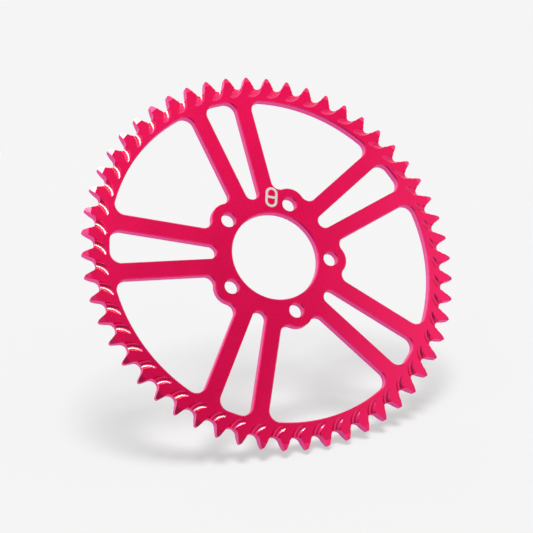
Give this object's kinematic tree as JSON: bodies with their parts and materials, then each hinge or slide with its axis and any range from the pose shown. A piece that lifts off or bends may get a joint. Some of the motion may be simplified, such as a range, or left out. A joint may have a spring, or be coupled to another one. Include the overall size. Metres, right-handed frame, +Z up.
{
  "type": "rear sprocket",
  "caption": "Flat toothed chain wheel with a centre bore, a circle of hub bolt holes, paired spokes, open windows and slanted mud grooves at the tooth gaps.",
  "frame": {"origin": "centre of the bore, at the middle of the plate's thickness, which is the chain line", "axes": "+Y along the wheel's axis toward the hub, so -Y is the outer face; +Z up through a bolt hole; +X to the right seen from the outer face"},
  "size_m": [0.2254, 0.0054, 0.2252],
  "materials": {
    "anodised_alloy": "satin pink-red anodised",
    "etched_alloy": "bare laser-etched satin"
  },
  "bodies": {
    "root": {"sprocket_plate": "anodised_alloy", "etched_mark": "etched_alloy"}
  },
  "joints": []
}
